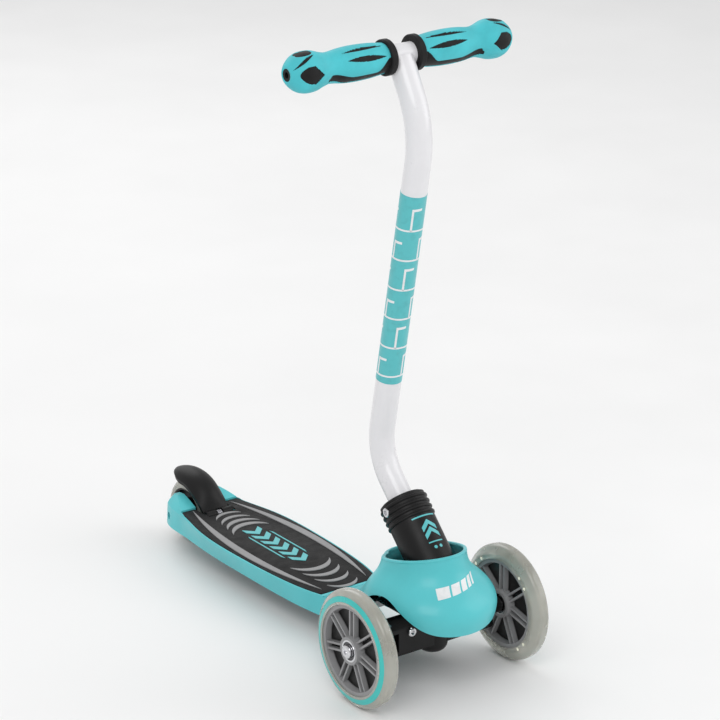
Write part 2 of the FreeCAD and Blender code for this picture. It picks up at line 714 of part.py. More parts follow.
def crescent(tip, belly, thick, half):
    """A crescent across the pad: its tips, its deepest place and its thickness there."""
    low = size("pad_high")
    deep = Part.Arc(Vector(-half, tip, low), Vector(0, belly, low), Vector(half, tip, low))
    flat = Part.Arc(Vector(half, tip, low), Vector(0, belly - thick, low), Vector(-half, tip, low))
    face = Part.Face(Part.Wire([deep.toShape(), flat.toShape()]))
    return face.extrude(Vector(0, 0, 0.6))


def grip_strips():
    pieces = [bowed_stripe(sign) for sign in (-1, 1)]
    for step in range(4):
        thick, deep = 6 - 0.7 * step, 17 - 2.5 * step
        rear, front = 321 + 14.5 * step, 211 - 19 * step
        pieces.append(crescent(rear, rear + deep, thick, 20 - 2.5 * step))
        pieces.append(crescent(front, front - deep, -thick, 23 - 2 * step))
    return Part.makeCompound(pieces)


def deck_badge():
    """A long oval of two arcs with nothing written on it."""
    low = size("pad_high")
    rear, front = Vector(0, 325, low), Vector(0, 211, low)
    arcs = [Part.Arc(rear, Vector(side * 17, 268, low), front).toShape() for side in (-1, 1)]
    face = Part.Face(Part.Wire(arcs))
    return face.extrude(Vector(0, 0, 0.4))


def deck_screws():
    screws = []
    for sign in (-1, 1):
        for place in SCREW_PLACES:
            spot = Vector(18 * sign, place, size("strap_low"))
            shank = Part.makeCylinder(1.6, 9, spot)
            head = Part.makeCylinder(3.4, 2.2, spot - Vector(0, 0, 2.2))
            screws.append(shank.fuse(head).removeSplitter())
    return Part.makeCompound(screws)


seat_shape("deck_shell", deck_shell())
seat_shape("grip_pad", grip_pad())
seat_shape("grip_strips", grip_strips())
seat_shape("deck_badge", deck_badge())
seat_shape("deck_screws", deck_screws())


# ---- front cowl ------------------------------------------------------------------------------------

# height, front, half width, where it is widest, rear, half width at the rear, bulge of the rear
COWL_LEVELS = (
    (24, -50, 46, 10, 138, 34.3, 0.5),
    (47, -54, 53, 8, 138, 36, 0.5),
    (62, -57, 56, 5, 102, 37, 5),
    (76, -60, 59, 5, 81, 34, 8),
    (90, -61.5, 61.5, 5, 68, 31, 10),
    (102, -55.5, 58.5, 8, 59, 26, 11),
    (113, -43.5, 48.5, 12, 52.5, 23.5, 12),
    (124, -34.5, 40, 16, 51, 23, 12),
    (145, -30, 37, 18, 51, 23, 12),
)


def cowl_section(level, inset):
    height, front, half, middle, rear, rear_half, bulge = level
    front, half, rear_half = front + inset, half - inset, rear_half - inset
    if inset:
        rear = rear + 4 if height < 50 else rear - inset
    reach = middle - front
    side = [(rear_half, rear), (half * 0.97, middle * 0.6 + rear * 0.4), (half, middle),
            (0.74 * half, middle - 0.70 * reach)]
    spots = [Vector(x, y, height) for x, y in side] + [Vector(0, front, height)]
    spots += [Vector(-x, y, height) for x, y in reversed(side)]
    around_front = Part.BSplineCurve()
    around_front.interpolate(spots)
    back = Part.Arc(spots[-1], Vector(0, rear + bulge, height), spots[0])
    return Part.Wire([around_front.toShape(), back.toShape()])


def front_cowl():
    outer = Part.makeLoft([cowl_section(level, 0) for level in COWL_LEVELS], True, False)
    inner = Part.makeLoft([cowl_section(level, size("shell_wall")) for level in COWL_LEVELS], True, False)
    cowl = outer.cut(inner)
    arch = Part.BSplineCurve()
    arch.interpolate([Vector(-80, back, up) for back, up in (
        (-80, 72), (-60, 72), (-46, 77), (-32, 87), (-16, 97), (2, 103), (20, 100), (38, 87),
        (52, 62), (60, 25), (61, 10))])
    base = Part.makePolygon([Vector(-80, 61, 10), Vector(-80, -80, 10), Vector(-80, -80, 72)])
    arch = Part.Face(Part.Wire([arch.toShape()] + base.Edges)).extrude(Vector(160, 0, 0))
    cowl = cowl.cut(arch)
    rim = Part.makeBox(200, 200, 80, Vector(-100, -100, 0))
    rim.Placement = Placement(Vector(0, 18, 132), Rotation(Vector(1, 0, 0), -14))
    cowl = cowl.cut(rim)
    return cowl.cut(box(-80, 80, size("deck_start") - 0.2, 200, 0, 80))


seat_shape("front_cowl", front_cowl())


# ---- leaning column ----------------------------------------------------------------------------------

def lean_axis():
    angle = math.radians(size("lean"))
    return Vector(0, math.sin(angle), math.cos(angle))


def along_socket(distance):
    """A point on the socket's axis, measured up from its top."""
    return Vector(0, size("socket_back"), size("socket_top")) + lean_axis() * distance


def stem_socket():
    """The moulded socket that holds the stem, with a barrel on the pivot pin."""
    axis, radius = lean_axis(), size("socket_radius")
    bottom = -74
    body = Part.makeCylinder(radius, -bottom - 1.5, along_socket(bottom), axis)
    body = body.fuse(Part.makeCone(radius - 1.2, radius - 2.5, 2, along_socket(-2), axis))
    for place in (-6, -12, -18, -24):
        body = body.fuse(Part.makeTorus(radius - 0.4, 1.9, along_socket(place), axis))
    front, back = size("barrel_front"), size("barrel_back")
    height, round_radius = size("pivot_height"), size("barrel_round")
    barrel = Part.makeCylinder(round_radius, back - front, Vector(0, front, height), Vector(0, 1, 0))
    neck = box(-round_radius, round_radius, front, back, height, 160)
    neck = neck.common(Part.makeCylinder(radius - 0.5, 140, along_socket(-110), axis).fuse(
        box(-round_radius, round_radius, front, 12, height, 118)))
    body = body.cut(box(-40, 40, -80, 80, 0, height + 13)).fuse(neck).fuse(barrel)
    body = body.cut(box(-40, 40, -90, front, 0, 130))
    body = body.cut(Part.makeCylinder(size("socket_bore"), 60, along_socket(-42), axis))
    spot = along_socket(-9)
    body = body.cut(rod(3.05, -40, 40, spot.y, spot.z))
    body = body.cut(rod(5.3, -40, -radius + 2, spot.y, spot.z))
    body = body.cut(rod(5.3, radius - 2, 40, spot.y, spot.z))
    body = body.cut(Part.makeCylinder(size("pivot_radius") + 0.05, 90, Vector(0, front - 5, height),
                                      Vector(0, 1, 0)))
    body = body.cut(Part.makeCylinder(4, 12, Vector(0, size("peg_back"), height - 18)))
    return body.removeSplitter()


def stem_bolt():
    radius, spot = size("socket_radius"), along_socket(-9)
    bolt = rod(3, -radius + 1, radius + 1.5, spot.y, spot.z)
    return bolt.fuse(rod(4.9, -radius - 1.2, -radius + 2, spot.y, spot.z)).removeSplitter()


def stem_nut():
    radius, spot = size("socket_radius"), along_socket(-9)
    return rod(4.9, radius - 2, radius + 1.2, spot.y, spot.z).cut(rod(3, 0, 40, spot.y, spot.z))


# corners of the stem's centre line from the socket to the crossbar, and the bends between them
STEM_CORNERS = ((91.4, 212.7), (24.7, 556.1))
STEM_BENDS = (58, 95)


def stem_path():
    """Straight runs joined by tangent arcs."""
    end = Vector(0, size("bar_back"), size("bar_height"))
    corners = [Vector(0, *corner) for corner in STEM_CORNERS]
    last_run = (end - corners[-1]).normalize()
    spots = [along_socket(-40)] + corners + [end - last_run * 3]
    edges, start = [], spots[0]
    for place, bend in enumerate(STEM_BENDS, start=1):
        before = (spots[place - 1] - spots[place]).normalize()
        after = (spots[place + 1] - spots[place]).normalize()
        half = before.getAngle(after) / 2
        cut = bend / math.tan(half)
        middle = spots[place] + (before + after).normalize() * (bend / math.sin(half) - bend)
        first, second = spots[place] + before * cut, spots[place] + after * cut
        edges += [Part.LineSegment(start, first).toShape(), Part.Arc(first, middle, second).toShape()]
        start = second
    edges.append(Part.LineSegment(start, spots[-1]).toShape())
    return Part.Wire(edges)


def swept(radius):
    path = stem_path()
    edge = path.Edges[0]
    start, way = edge.Vertexes[0].Point, edge.tangentAt(edge.FirstParameter)
    section = Part.Wire(Part.makeCircle(radius, start, way))
    return path.makePipeShell([section], True, False)


def stem_tube():
    tube = swept(size("stem_radius")).cut(swept(size("stem_radius - stem_wall")))
    tube = tube.cut(rod(size("bar_radius"), -30, 30, size("bar_back"), size("bar_height")))
    spot = along_socket(-9)
    return tube.cut(rod(3.05, -30, 30, spot.y, spot.z))


def stem_wrap():
    """A thin printed film round the straight middle of the stem."""
    low, high = (Vector(0, *corner) for corner in STEM_CORNERS)
    way = (high - low).normalize()
    start = low + way * 84
    outer = Part.makeCylinder(size("stem_radius") + 0.25, 202, start, way)
    return outer.cut(Part.makeCylinder(size("stem_radius"), 202, start, way))


seat_shape("stem_socket", stem_socket())
seat_shape("stem_bolt", stem_bolt())
seat_shape("stem_nut", stem_nut())
seat_shape("stem_tube", stem_tube())
seat_shape("stem_wrap", stem_wrap())


def steering_peg():
    peg = new_body("steering_peg")
    sketch = new_sketch(peg, "XY_Plane", "pivot_height - 18")
    circle(sketch, "0", "0", "4")
    extrude(peg, sketch, "12")
    sketch = new_sketch(peg, "XY_Plane", "(rod_low + rod_high) / 2")
    circle(sketch, "0", "0", "3")
    extrude(peg, sketch, "pivot_height - 17 - (rod_low + rod_high) / 2")
    neck = doc.addObject("Part::Sphere", "peg_ball")
    neck.setExpression("Radius", cell("peg_ball"))
    neck.setExpression(".Placement.Base.z", cell("(rod_low + rod_high) / 2"))
    whole = doc.addObject("Part::Fuse", "steering_peg_whole")
    whole.Base = peg
    whole.Tool = neck
    peg.Label = "steering_peg_shank"
    whole.Label = "steering_peg"
    seat(whole, back="peg_back")


steering_peg()


# ---- handlebar and grips -------------------------------------------------------------------------------

def handlebar():
    bar = turned("handlebar_tube",
                 box_corners("-bar_half", "bar_half", "bar_radius - stem_wall", "bar_radius"))
    seat(bar, back="bar_back", up="bar_height")
    for side, sign in SIDES.items():
        turn = Rotation(Vector(0, 0, 1), 0 if sign > 0 else 180)
        spot = {"back": "bar_back", "up": "bar_height", "turn": turn}
        core = turned("grip_core_" + side, [
            ("grip_start", "bar_radius"), ("grip_start", "16.5"), ("grip_start + 1", "17.4"),
            ("grip_start + 6", "17.4"), ("grip_start + 7", "16.5"), ("grip_start + 7", "12.6"),
            ("grip_end - 4", "12.6"), ("grip_end - 4", "6"), ("grip_end", "6"), ("grip_end", "end_hole"),
            ("bar_half", "end_hole"), ("bar_half", "bar_radius")])
        seat(core, **spot)
        skin = turned("grip_skin_" + side, [
            ("grip_start + 7", "12.6"), ("grip_start + 7", "14.4"), ("32", "15.8"), ("46", "16.7"),
            ("60", "16.9"), ("72", "16"), ("83", "14.7"), ("90", "15.6"), ("97", "18.2"), ("104", "19.4"),
            ("111", "19.4"), ("117", "18"), ("122", "15"), ("grip_end - 2", "11"), ("grip_end", "8"),
            ("grip_end", "6"), ("grip_end - 4", "6"), ("grip_end - 4", "12.6")])
        seat(skin, **spot)


handlebar()


# ---- foot brake ----------------------------------------------------------------------------------------

# angle about the rear axle from straight back, distance of the ridge, drop of the edges, half width
FENDER_SECTIONS = ((168, 46.5, 1.5, 16), (150, 46, 5, 16.3), (132, 47, 9.5, 16.8), (115, 47, 10.5, 17),
                   (96, 47, 10.5, 17), (78, 47.8, 10, 16.5), (67, 48.8, 7.5, 14.5), (59, 49.8, 4.5, 11),
                   (54, 50.5, 1.5, 5.5))


def around_wheel(angle, radius, across=0):
    turn = math.radians(angle)
    return Vector(across, size("rear_back") + radius * math.cos(turn),
                  size("rear_radius") + radius * math.sin(turn))


def fender_section(angle, ridge, drop, half):
    """An arched strip across the wheel, as a closed outline."""
    inner = ridge - size("brake_thick")
    top = Part.Arc(around_wheel(angle, ridge - drop, -half), around_wheel(angle, ridge),
                   around_wheel(angle, ridge - drop, half))
    low = Part.Arc(around_wheel(angle, inner - drop, half), around_wheel(angle, inner),
                   around_wheel(angle, inner - drop, -half))
    sides = [Part.LineSegment(top.EndPoint, low.StartPoint), Part.LineSegment(low.EndPoint, top.StartPoint)]
    return Part.Wire([curve.toShape() for curve in (top, sides[0], low, sides[1])])


def brake_fender():
    """A curved paddle over the rear wheel, hinged in front of it."""
    paddle = Part.makeLoft([fender_section(*section) for section in FENDER_SECTIONS], True, False)
    back, up, half = size("hinge_back"), size("hinge_height"), size("brake_half")
    paddle = paddle.fuse(rod(5.2, -half, half, back, up))
    paddle = paddle.cut(rod(size("hinge_radius") + 0.05, -half - 1, half + 1, back, up))
    return paddle.cut(rod(6.2, -4, 4, back, up)).removeSplitter()


def brake_shoe():
    """A block under the paddle that rubs on the tyre when the paddle is pressed."""
    block = box(-8, 8, 405, 418, 55, 90)
    axle = Vector(-20, size("rear_back"), size("rear_radius"))
    tyre = Part.makeCylinder(size("rear_radius + shoe_gap"), 40, axle, Vector(1, 0, 0))
    below = Part.makeCylinder(46.9 - size("brake_thick") - 2.2, 40, axle, Vector(1, 0, 0))
    return block.common(below).cut(tyre)


seat_shape("brake_fender", brake_fender())
seat_shape("brake_shoe", brake_shoe())
brake_coil = helix("brake_spring", size("hinge_radius") + 1.1, 0.8, 1.9, 3)
brake_coil.Placement = Placement(Vector(-2.85, size("hinge_back - axle_ahead"), size("hinge_height")),
                                 Rotation(Vector(0, 1, 0), 90))
pin = turned("brake_hinge_pin", box_corners("-21", "21", "0", "hinge_radius"))
seat(pin, back="hinge_back", up="hinge_height")

doc.recompute()
os.makedirs("parts", exist_ok=True)
for item in doc.Objects:
    if "Invalid" in item.State or "Error" in item.State:
        raise RuntimeError("%s is %s" % (item.Name, item.State))
for item in nodes:
    if item.Shape.isNull() or not item.Shape.isValid():
        raise RuntimeError(item.Label + " has no valid shape")
    item.Shape.exportStep("parts/%s.step" % item.Label)
    print("%-20s solids %d volume %9.0f" % (item.Label, len(item.Shape.Solids), item.Shape.Volume))
print(len(nodes), "nodes")
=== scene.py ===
import json
import math

import bmesh
import bpy
from mathutils import Matrix, Vector
from mathutils.bvhtree import BVHTree


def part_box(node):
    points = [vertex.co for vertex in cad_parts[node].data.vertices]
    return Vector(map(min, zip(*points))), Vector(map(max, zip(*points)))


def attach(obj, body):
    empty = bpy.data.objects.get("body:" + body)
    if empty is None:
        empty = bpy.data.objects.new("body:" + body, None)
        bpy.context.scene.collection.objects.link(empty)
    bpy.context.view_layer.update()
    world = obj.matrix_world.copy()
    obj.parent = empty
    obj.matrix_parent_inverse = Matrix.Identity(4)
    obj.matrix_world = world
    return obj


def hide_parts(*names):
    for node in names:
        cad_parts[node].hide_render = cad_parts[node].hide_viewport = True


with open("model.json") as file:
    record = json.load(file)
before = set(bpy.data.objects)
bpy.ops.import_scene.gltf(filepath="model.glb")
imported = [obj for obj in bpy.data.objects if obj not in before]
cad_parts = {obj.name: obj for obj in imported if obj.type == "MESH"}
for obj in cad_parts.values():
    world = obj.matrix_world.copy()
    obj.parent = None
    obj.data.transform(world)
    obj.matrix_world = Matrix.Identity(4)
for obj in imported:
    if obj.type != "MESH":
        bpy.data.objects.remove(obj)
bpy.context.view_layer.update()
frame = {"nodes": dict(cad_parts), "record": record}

nodes = frame["nodes"]
MM = 0.001
SIDES = {"left": 1, "right": -1}

# the scooter's own places, in metres, read from the frame
PAD_LOW, PAD_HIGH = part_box("grip_pad")
TYRE_LOW, TYRE_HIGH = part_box("front_tyre_left")
AXLE = Vector((0, (TYRE_LOW.y + TYRE_HIGH.y) / 2, (TYRE_LOW.z + TYRE_HIGH.z) / 2))


# ---- materials -----------------------------------------------------------------------------------------

class Shader:
    """A Principled material that is painted in object space, with small helpers for its nodes."""

    def __init__(self, name, **values):
        self.material = bpy.data.materials.new(name)
        self.material.use_nodes = True
        self.tree = self.material.node_tree
        self.principled = self.tree.nodes["Principled BSDF"]
        for socket, value in values.items():
            self.principled.inputs[socket.replace("_", " ")].default_value = value
        self.place = self.node("ShaderNodeTexCoord").outputs["Object"]

    def node(self, kind, **settings):
        made = self.tree.nodes.new(kind)
        for key, value in settings.items():
            setattr(made, key, value)
        return made

    def link(self, source, target):
        self.tree.links.new(source, target)

    def noise(self, scale, detail=4, rough=0.55, stretch=None):
        made = self.node("ShaderNodeTexNoise")
        made.inputs["Scale"].default_value = scale
        made.inputs["Detail"].default_value = detail
        made.inputs["Roughness"].default_value = rough
        place = self.place
        if stretch:
            mapping = self.node("ShaderNodeMapping")
            mapping.inputs["Scale"].default_value = stretch
            self.link(place, mapping.inputs["Vector"])
            place = mapping.outputs["Vector"]
        self.link(place, made.inputs["Vector"])
        return made.outputs["Fac"]

    def cells(self, scale):
        made = self.node("ShaderNodeTexVoronoi")
        made.inputs["Scale"].default_value = scale
        self.link(self.place, made.inputs["Vector"])
        return made.outputs["Distance"]

    def ramp(self, source, stops):
        made = self.node("ShaderNodeValToRGB")
        while len(made.color_ramp.elements) < len(stops):
            made.color_ramp.elements.new(0.5)
        for element, (place, colour) in zip(made.color_ramp.elements, stops):
            element.position = place
            element.color = (*colour, 1) if len(colour) == 3 else colour
        self.link(source, made.inputs["Fac"])
        return made.outputs["Color"]

    def spread(self, source, low, high, start=0.3, end=0.7):
        made = self.node("ShaderNodeMapRange")
        for key, value in (("From Min", start), ("From Max", end), ("To Min", low), ("To Max", high)):
            made.inputs[key].default_value = value
        self.link(source, made.inputs["Value"])
        return made.outputs["Result"]

    def sum(self, operation, first, second=None):
        """One arithmetic step, on a socket and a socket or a number."""
        made = self.node("ShaderNodeMath", operation=operation)
        self.link(first, made.inputs[0])
        if isinstance(second, (int, float)):
            made.inputs[1].default_value = second
        elif second:
            self.link(second, made.inputs[1])
        return made.outputs["Value"]

    def from_axle(self):
        """Distances from the middle plane of a front wheel, and from its axis."""
        split = self.node("ShaderNodeSeparateXYZ")
        self.link(self.place, split.inputs["Vector"])
        across = self.sum("ABSOLUTE", split.outputs["X"])
        depth = self.sum("ABSOLUTE", self.sum("SUBTRACT", across, (TYRE_LOW.x + TYRE_HIGH.x) / 2))
        out = self.node("ShaderNodeCombineXYZ")
        for axis, middle in (("Y", AXLE.y), ("Z", AXLE.z)):
            self.link(self.sum("SUBTRACT", split.outputs[axis], middle), out.inputs[axis])
        radius = self.node("ShaderNodeVectorMath", operation="LENGTH")
        self.link(out.outputs["Vector"], radius.inputs[0])
        return depth, radius.outputs["Value"]

    def paint(self, colour):
        self.link(colour, self.principled.inputs["Base Color"])

    def gloss(self, rough):
        self.link(rough, self.principled.inputs["Roughness"])

    def bumps(self, *layers):
        """Each layer is a height, its strength and its depth in metres."""
        normal = None
        for height, strength, depth in layers:
            bump = self.node("ShaderNodeBump")
            bump.inputs["Strength"].default_value = strength
            bump.inputs["Distance"].default_value = depth
            self.link(height, bump.inputs["Height"])
            if normal:
                self.link(normal, bump.inputs["Normal"])
            normal = bump.outputs["Normal"]
        self.link(normal, self.principled.inputs["Normal"])
        return self.material


def shade(colour, factor):
    return tuple(min(1, part * factor) for part in colour)


def moulded(name, colour, rough=0.35, grain=0.25, vary=0.05, coat=0.0, **values):
    """Injection-moulded plastic: faint flow marks, an uneven gloss and a fine spark-eroded grain."""
    shader = Shader(name, Coat_Weight=coat, Coat_Roughness=0.12, **values)
    flow = shader.noise(9, 3, 0.5, stretch=(1, 2.5, 1))
    shader.paint(shader.ramp(flow, [(0.3, shade(colour, 1 - vary)), (0.7, shade(colour, 1 + vary))]))
    shader.gloss(shader.spread(shader.noise(38, 5), rough - 0.06, rough + 0.08))
    return shader.bumps((shader.noise(2600, 2), grain, 0.00008), (shader.noise(60, 2), 0.12, 0.0002))


def rubber(name, colour, rough=0.62, pores=1500, grain=0.5, vary=0.12):
    """Soft thermoplastic rubber: matte, a little sheen, a leathery grain."""
    shader = Shader(name, Sheen_Weight=0.03, Sheen_Roughness=0.5, Specular_IOR_Level=0.25)
    patches = shader.noise(40, 5)
    shader.paint(shader.ramp(patches, [(0.3, shade(colour, 1 - vary)), (0.7, shade(colour, 1 + vary))]))
    shader.gloss(shader.spread(shader.noise(110, 4), rough - 0.08, rough + 0.1))
    return shader.bumps((shader.cells(pores), grain, 0.00012), (shader.noise(420, 3), 0.2, 0.0001))


def clear_tyre():
    """Cloudy cast polyurethane that lets the light through: milkier in drifts, with a wet gloss."""
    shader = Shader("clear_tyre", Transmission_Weight=0.5, IOR=1.46, Subsurface_Weight=0.2,
                    Subsurface_Scale=0.012, Coat_Weight=0.7, Coat_Roughness=0.07)
    shader.principled.inputs["Subsurface Radius"].default_value = (1.0, 0.95, 0.8)
    cloud = shader.noise(22, 3, 0.5)
    shader.paint(shader.ramp(cloud, [(0.32, (0.50, 0.495, 0.43)), (0.68, (0.70, 0.695, 0.62))]))
    shader.gloss(shader.spread(shader.noise(30, 3), 0.16, 0.30))
    return shader.bumps((shader.noise(45, 2), 0.06, 0.0002))


def rim_nylon_painted_shade():
    """Grey glass-filled nylon with painted shade: the web that lies deep between the spokes of the wheel is
    painted near-black as shade.
    """
    shader = Shader("grey_nylon_painted_shade", Specular_IOR_Level=0.35)
    grey = shader.ramp(shader.noise(24, 4), [(0.3, (0.25, 0.25, 0.255)), (0.7, (0.31, 0.31, 0.315))])
    depth, radius = shader.from_axle()
    # painted shade: a mask of the web near the wheel's middle plane and inside the rim ring, where shade
    # falls deep between the spokes
    deep = shader.spread(depth, 1, 0, 0.0016, 0.0030)
    inside = shader.spread(radius, 1, 0, 0.0412, 0.0416)
    mix = shader.node("ShaderNodeMix", data_type="RGBA")
    shader.link(shader.sum("MULTIPLY", deep, inside), mix.inputs["Factor"])
    shader.link(grey, mix.inputs[6])
    # the near-black colour of the painted shade between the spokes
    web = shader.ramp(shader.noise(60, 3), [(0.3, (0.012, 0.012, 0.012)), (0.7, (0.022, 0.022, 0.022))])
    shader.link(web, mix.inputs[7])
    shader.paint(mix.outputs[2])
    shader.gloss(shader.spread(shader.noise(70, 4), 0.36, 0.5))
    return shader.bumps((shader.noise(2200, 2), 0.35, 0.00008))


def steel(name, colour=(0.62, 0.62, 0.64), rough=0.24):
    """Plated steel with fine turning marks and a few duller patches."""
    shader = Shader(name, Metallic=1.0)
    shader.paint(shader.ramp(shader.noise(70, 4), [(0.3, shade(colour, 0.86)), (0.7, colour)]))
    shader.gloss(shader.spread(shader.noise(200, 5), rough - 0.06, rough + 0.12))
    return shader.bumps((shader.noise(1500, 3, 0.6), 0.25, 0.00006))


def bearing_steel():
    """Polished races round a dull dark shield."""
    shader = Shader("bearing_steel", Metallic=1.0)
    radius = shader.spread(shader.from_axle()[1], 0, 1, 0, 0.0125)
    race, dark, groove = (0.72, 0.72, 0.74), (0.10, 0.10, 0.105), (0.02, 0.02, 0.02)
    shader.paint(shader.ramp(radius, [(0.0, race), (0.49, race), (0.52, groove), (0.56, dark), (0.70, dark),
                                      (0.73, groove), (0.76, race)]))
    shader.gloss(shader.spread(shader.noise(200, 5), 0.12, 0.3))
    return shader.bumps((shader.noise(1500, 3), 0.2, 0.00005))


def powder_coat(name, colour):
    """Glossy paint on steel tube, with a slight orange peel."""
    shader = Shader(name, Coat_Weight=0.6, Coat_Roughness=0.06)
    drift = shader.noise(14, 3)
    shader.paint(shader.ramp(drift, [(0.3, shade(colour, 0.975)), (0.7, shade(colour, 1.015))]))
    shader.gloss(shader.spread(shader.noise(60, 4), 0.26, 0.36))
    return shader.bumps((shader.noise(520, 2, 0.4), 0.18, 0.00012))


def printed(name, colour):
    """Printed film: even colour with a faint screen and slight wear."""
    shader = Shader(name, Coat_Weight=0.25, Coat_Roughness=0.2)
    shader.paint(shader.ramp(shader.noise(160, 6), [(0.28, shade(colour, 0.9)), (0.5, colour)]))
    shader.gloss(shader.spread(shader.noise(90, 4), 0.32, 0.48))
    return shader.bumps((shader.noise(1800, 2), 0.15, 0.00005))


def lens_material():
    """Milky little light lenses."""
    shader = Shader("light_lens", Transmission_Weight=0.3, IOR=1.45, Coat_Weight=0.5)
    shader.principled.inputs["Emission Color"].default_value = (1.0, 0.96, 0.82, 1)
    shader.principled.inputs["Emission Strength"].default_value = 0.25
    shader.paint(shader.ramp(shader.noise(300, 3), [(0.3, (0.80, 0.79, 0.66)), (0.7, (0.90, 0.89, 0.78))]))
    return shader.bumps((shader.noise(900, 2), 0.2, 0.0001))


TEAL = (0.095, 0.545, 0.585)
BLACK = (0.0062, 0.0060, 0.0063)
LOOKS = {
    "teal_shell": moulded("teal_plastic", TEAL, rough=0.34, coat=0.12, Specular_IOR_Level=0.35),
    "clear_tyre": clear_tyre(),
    "teal_ring": moulded("teal_trim", (0.025, 0.50, 0.47), rough=0.3, coat=0.3),
    "grey_rim": rim_nylon_painted_shade(),
    "lights": lens_material(),
    "teal_grip": rubber("teal_rubber", (0.068, 0.50, 0.56), rough=0.55),
    "black_rubber": rubber("black_rubber", BLACK, rough=0.6),
    "grey_rubber": rubber("grey_rubber", (0.30, 0.30, 0.305), rough=0.6, vary=0.06),
    "teal_print": printed("teal_film", (0.085, 0.49, 0.52)),
    "white_paint": powder_coat("white_powder_coat", (0.76, 0.755, 0.775)),
    "black_plastic": moulded("black_plastic", BLACK, rough=0.4, grain=0.5, vary=0.15,
                             Specular_IOR_Level=0.25),
    "black_steel": moulded("black_powder_coat", BLACK, rough=0.3, grain=0.2, vary=0.1,
                           Specular_IOR_Level=0.3),
    "bright_steel": steel("zinc_steel"),
}
CHROME = steel("polished_steel", (0.75, 0.75, 0.77), rough=0.14)
WHITE_INK = printed("white_ink", (0.78, 0.79, 0.80))
STEEL_SPRING = steel("spring_steel", (0.42, 0.42, 0.45), rough=0.3)

slots = {row["node"]: row["material_slot"] for row in frame["record"]["subparts"]}
for name, obj in nodes.items():
    obj.data.materials.clear()
    obj.data.materials.append(LOOKS[slots[name]])
BEARING = bearing_steel()
for name in ("stem_nut", "stub_axle_left", "stub_axle_right", "rear_axle_bolt", "rear_axle_nut"):
    nodes[name].data.materials[0] = CHROME
for side in SIDES:
    nodes["front_bearings_" + side].data.materials[0] = BEARING
for name in ("centring_spring", "brake_spring"):
    nodes[name].data.materials[0] = STEEL_SPRING

# ---- building pieces -----------------------------------------------------------------------------------

BODIES = frame["record"]["behaviour"]["bodies"]
BODY_OF = {node: body for body, members in BODIES.items() for node in members}


def piece(name, mesh, like, *looks, replaces=(), smooth=True):
    """A new piece on the body of the CAD node that it is like, with the looks that it is given."""
    obj = bpy.data.objects.new(name, mesh)
    bpy.context.collection.objects.link(obj)
    for look in looks:
        mesh.materials.append(look)
    if smooth:
        mesh.shade_smooth()
    if replaces:
        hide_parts(*replaces)
    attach(obj, BODY_OF[like])
    return obj


def bevelled(obj, width, segments=2, angle=35):
    bevel = obj.modifiers.new("rounded_edges", "BEVEL")
    bevel.width = width
    bevel.segments = segments
    bevel.limit_method = "ANGLE"
    bevel.angle_limit = math.radians(angle)
    bevel.harden_normals = True
    return obj


def to_mesh(name, bm):
    mesh = bpy.data.meshes.new(name)
    bm.to_mesh(mesh)
    bm.free()
    return mesh


def arc(start, middle, end, count=24):
    """Points along the circle through three points of a plane."""
    (ax, ay), (bx, by), (cx, cy) = start, middle, end
    cross = 2 * (ax * (by - cy) + bx * (cy - ay) + cx * (ay - by))
    squares = [x * x + y * y for x, y in (start, middle, end)]
    x = (squares[0] * (by - cy) + squares[1] * (cy - ay) + squares[2] * (ay - by)) / cross
    y = (squares[0] * (cx - bx) + squares[1] * (ax - cx) + squares[2] * (bx - ax)) / cross
    radius = math.hypot(ax - x, ay - y)
    first, mid, last = (math.atan2(py - y, px - x) for px, py in (start, middle, end))
    sweep = (last - first) % math.tau
    if (mid - first) % math.tau > sweep:
        sweep -= math.tau
    angles = [first + sweep * step / count for step in range(count + 1)]
    return [(x + radius * math.cos(angle), y + radius * math.sin(angle)) for angle in angles]


def verts_of(made):
    """The corners among what a bmesh operator has made."""
    return [item for item in made["geom"] if isinstance(item, bmesh.types.BMVert)]


def slab(bm, outline, low, high):
    """A flat plate from an outline in metres."""
    base = bm.faces.new([bm.verts.new((x, y, low)) for x, y in outline])
    made = bmesh.ops.extrude_face_region(bm, geom=[base])
    bmesh.ops.translate(bm, vec=(0, 0, high - low), verts=verts_of(made))
    bmesh.ops.recalc_face_normals(bm, faces=bm.faces)


def print_on(name, like, outlines, place, look, thick=0.00012, step=0.0018):
    """Thin printed shapes on a curved surface, from flat outlines in metres that place maps to it."""
    bm = bmesh.new()
    for outline in outlines:
        bm.faces.new([bm.verts.new((x, y, 0)) for x, y in outline])
    for axis in (0, 1):
        values = [v.co[axis] for v in bm.verts]
        normal = Vector((1, 0, 0)) if axis == 0 else Vector((0, 1, 0))
        cut = min(values) + step
        while cut < max(values):
            bmesh.ops.bisect_plane(bm, geom=bm.verts[:] + bm.edges[:] + bm.faces[:], plane_co=normal * cut,
                                   plane_no=normal, dist=0.000001)
            cut += step
    bmesh.ops.triangulate(bm, faces=bm.faces)
    tops = {}
    for vert in bm.verts:
        spot, normal = place(vert.co.x, vert.co.y)
        tops[vert] = spot + normal * thick
        vert.co = spot - normal * thick
    made = bmesh.ops.extrude_face_region(bm, geom=bm.faces[:], use_keep_orig=True)
    top_of = {tuple(round(part, 7) for part in vert.co): top for vert, top in tops.items()}
    for vert in verts_of(made):
        vert.co = top_of[tuple(round(part, 7) for part in vert.co)]
    bmesh.ops.recalc_face_normals(bm, faces=bm.faces)
    return piece(name, to_mesh(name, bm), like, look, smooth=False)


def surface_of(node):
    mesh = nodes[node].data
    spots = [vertex.co.copy() for vertex in mesh.vertices]
    return BVHTree.FromPolygons(spots, [polygon.vertices[:] for polygon in mesh.polygons])


